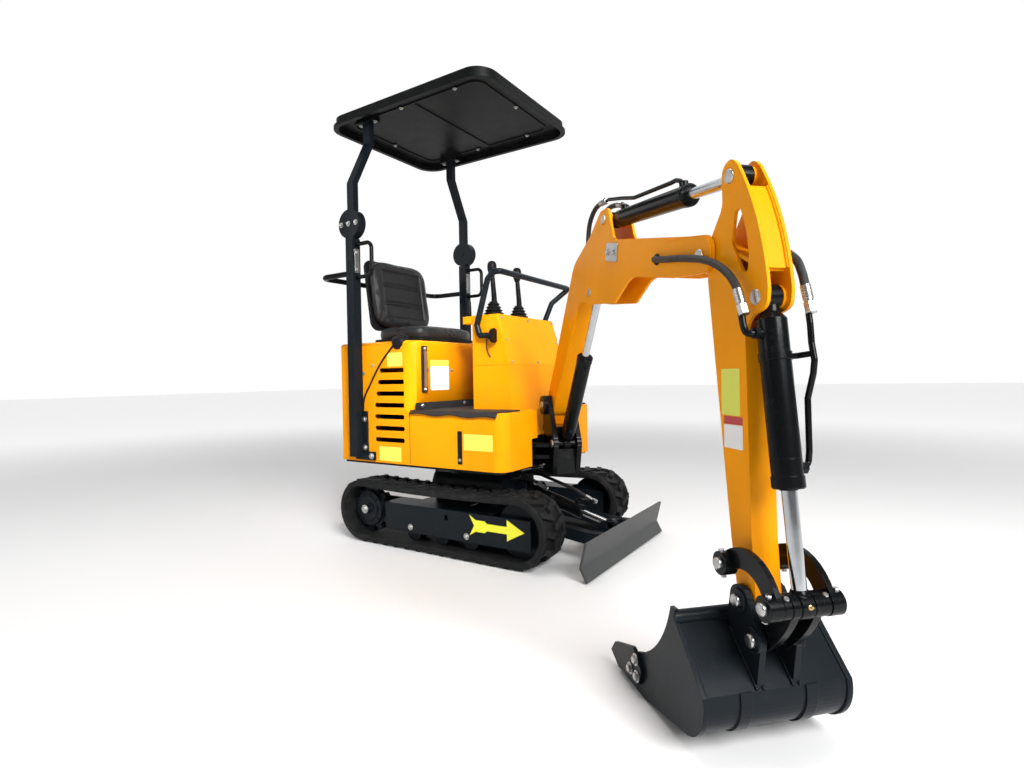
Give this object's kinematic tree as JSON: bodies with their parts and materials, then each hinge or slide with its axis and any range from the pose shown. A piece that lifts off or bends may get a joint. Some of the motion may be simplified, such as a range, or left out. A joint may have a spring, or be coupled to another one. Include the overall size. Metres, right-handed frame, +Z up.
{
  "type": "mini excavator",
  "caption": "Compact tracked digger with dozer blade, slewing house, folding canopy, side-swinging boom, stick and bucket.",
  "frame": {"origin": "on the slew axis, at the ground under the tracks", "axes": "+X forward of the undercarriage, +Y left, +Z up"},
  "size_m": [2.4525, 1.7746, 2.202],
  "materials": {
    "yellow_paint": "gloss",
    "grey_paint": "satin",
    "black_paint": "gloss",
    "rod_chrome": "polished",
    "track_rubber": "matte",
    "hose_rubber": "matte",
    "seat_vinyl": "satin",
    "black_plastic": "satin"
  },
  "bodies": {
    "undercarriage": {"center_frame": "grey_paint", "slew_ring": "grey_paint", "track_frame_right": "grey_paint", "track_frame_left": "grey_paint", "track_right": "track_rubber", "track_left": "track_rubber", "sprocket_right": "grey_paint", "sprocket_left": "grey_paint", "idler_right": "grey_paint", "idler_left": "grey_paint", "rollers_right": "grey_paint", "rollers_left": "grey_paint"},
    "blade": {"blade_arms": "grey_paint", "blade_plate": "grey_paint"},
    "blade_barrel": {"blade_barrel": "black_paint"},
    "blade_rod": {"blade_rod": "rod_chrome"},
    "house": {"turntable_plate": "black_paint", "lower_body": "yellow_paint", "rear_housing": "yellow_paint", "engine_block": "black_paint", "floor_mat": "hose_rubber", "console": "yellow_paint", "seat_base": "black_paint", "seat_cushion": "seat_vinyl", "seat_back": "seat_vinyl", "posts_lower": "grey_paint", "rear_rail": "black_paint", "grab_handles": "black_paint", "safety_bar": "black_paint", "control_levers": "black_plastic", "filler_cap": "black_plastic"},
    "canopy": {"posts_upper": "grey_paint", "canopy_roof": "black_plastic"},
    "swing_bracket": {"swing_bracket": "black_paint"},
    "swing_barrel": {"swing_barrel": "black_paint"},
    "swing_rod": {"swing_rod": "rod_chrome"},
    "boom": {"boom": "yellow_paint", "stick_hose": "hose_rubber"},
    "boom_barrel": {"boom_barrel": "black_paint"},
    "boom_rod": {"boom_rod": "rod_chrome"},
    "stick": {"stick": "yellow_paint"},
    "stick_barrel": {"stick_barrel": "black_paint"},
    "stick_rod": {"stick_rod": "rod_chrome"},
    "rocker": {"rocker_links": "black_paint"},
    "link": {"bucket_link": "black_paint"},
    "bucket_barrel": {"bucket_barrel": "black_paint"},
    "bucket_rod": {"bucket_rod": "rod_chrome"},
    "bucket": {"bucket": "grey_paint", "side_cutters": "grey_paint"}
  },
  "joints": [
    {"name": "slew", "type": "hinge", "parent": "undercarriage", "child": "house", "pos_m": [0, 0, 0.4], "axis": [0, 0, 1], "continuous": true},
    {"name": "blade_lift", "type": "hinge", "parent": "undercarriage", "child": "blade", "pos_m": [0.252, 0, 0.15], "axis": [0, -1, 0], "range_deg": [-16, 22]},
    {"name": "blade_barrel_turn", "type": "hinge", "parent": "undercarriage", "child": "blade_barrel", "pos_m": [0.232, 0, 0.262], "axis": [0, -1, 0], "range_deg": [-15.54, 20.99]},
    {"name": "blade_rod_slide", "type": "slide", "parent": "blade_barrel", "child": "blade_rod", "axis": [0.9623, 0, -0.272], "range_m": [-0.0418, 0.031]},
    {"name": "canopy_fold", "type": "hinge", "parent": "house", "child": "canopy", "pos_m": [-0.47, 0, 1.592], "axis": [0, -1, 0], "range_deg": [0, 90]},
    {"name": "boom_swing", "type": "hinge", "parent": "house", "child": "swing_bracket", "pos_m": [0.42, 0, 0.45], "axis": [0, 0, 1], "range_deg": [-10, 100]},
    {"name": "swing_barrel_turn", "type": "hinge", "parent": "house", "child": "swing_barrel", "pos_m": [-0.11, -0.13, 0.467], "axis": [0, 0, 1], "range_deg": [-1.41, 5.07]},
    {"name": "swing_rod_slide", "type": "slide", "parent": "swing_barrel", "child": "swing_rod", "axis": [1, 0.0059, 0], "range_m": [-0.0245, 0.2266]},
    {"name": "boom_lift", "type": "hinge", "parent": "swing_bracket", "child": "boom", "pos_m": [0.46243, -0.04243, 0.68], "axis": [-0.7071, -0.7071, 0], "range_deg": [-50, 40]},
    {"name": "boom_barrel_turn", "type": "hinge", "parent": "swing_bracket", "child": "boom_barrel", "pos_m": [0.53455, -0.11455, 0.508], "axis": [-0.7071, -0.7071, 0], "range_deg": [-47.07, 37.86]},
    {"name": "boom_rod_slide", "type": "slide", "parent": "boom_barrel", "child": "boom_rod", "axis": [0.4205, -0.4205, 0.804], "range_m": [-0.1589, 0.1275]},
    {"name": "stick_turn", "type": "hinge", "parent": "boom", "child": "stick", "pos_m": [1.43258, -1.01258, 1.101], "axis": [0.7071, 0.7071, 0], "range_deg": [-65, 45], "deforming": ["stick_hose"]},
    {"name": "stick_barrel_turn", "type": "hinge", "parent": "boom", "child": "stick_barrel", "pos_m": [0.97861, -0.55861, 1.36], "axis": [0.7071, 0.7071, 0], "range_deg": [-5.43, 4.06]},
    {"name": "stick_rod_slide", "type": "slide", "parent": "stick_barrel", "child": "stick_rod", "axis": [0.7007, -0.7007, -0.1342], "range_m": [-0.1904, 0.1325]},
    {"name": "bucket_turn", "type": "hinge", "parent": "stick", "child": "bucket", "pos_m": [1.53723, -1.11723, 0.318], "axis": [0.7071, 0.7071, 0], "range_deg": [-110, 60]},
    {"name": "rocker_turn", "type": "hinge", "parent": "stick", "child": "rocker", "pos_m": [1.52309, -1.10309, 0.396], "axis": [0.7071, 0.7071, 0], "range_deg": [-62.06, 34.31]},
    {"name": "link_turn", "type": "hinge", "parent": "rocker", "child": "link", "pos_m": [1.63198, -1.21198, 0.353], "axis": [0.7071, 0.7071, 0], "range_deg": [-16.21, 28.89]},
    {"name": "bucket_barrel_turn", "type": "hinge", "parent": "stick", "child": "bucket_barrel", "pos_m": [1.57046, -1.15046, 0.975], "axis": [0.7071, 0.7071, 0], "range_deg": [-3.74, 2.49]},
    {"name": "bucket_rod_slide", "type": "slide", "parent": "bucket_barrel", "child": "bucket_rod", "axis": [0.098, -0.098, -0.9904], "range_m": [-0.156, 0.086]}
  ],
  "couplings": [
    {"joint": "blade_barrel_turn", "follows": "blade_lift", "ratio": 0.9088},
    {"joint": "blade_rod_slide", "follows": "blade_lift", "m_per_rad": -0.10367},
    {"joint": "swing_barrel_turn", "follows": "boom_swing", "ratio": 0.0407},
    {"joint": "swing_rod_slide", "follows": "boom_swing", "m_per_rad": 0.12867},
    {"joint": "boom_barrel_turn", "follows": "boom_lift", "ratio": 0.9214},
    {"joint": "boom_rod_slide", "follows": "boom_lift", "m_per_rad": 0.17974},
    {"joint": "stick_barrel_turn", "follows": "stick_turn", "ratio": 0.0681},
    {"joint": "stick_rod_slide", "follows": "stick_turn", "m_per_rad": 0.16611},
    {"joint": "rocker_turn", "follows": "bucket_turn", "ratio": 0.5551},
    {"joint": "link_turn", "follows": "bucket_turn", "ratio": -0.2535},
    {"joint": "bucket_barrel_turn", "follows": "bucket_turn", "ratio": 0.0249},
    {"joint": "bucket_rod_slide", "follows": "bucket_turn", "m_per_rad": 0.08023}
  ]
}
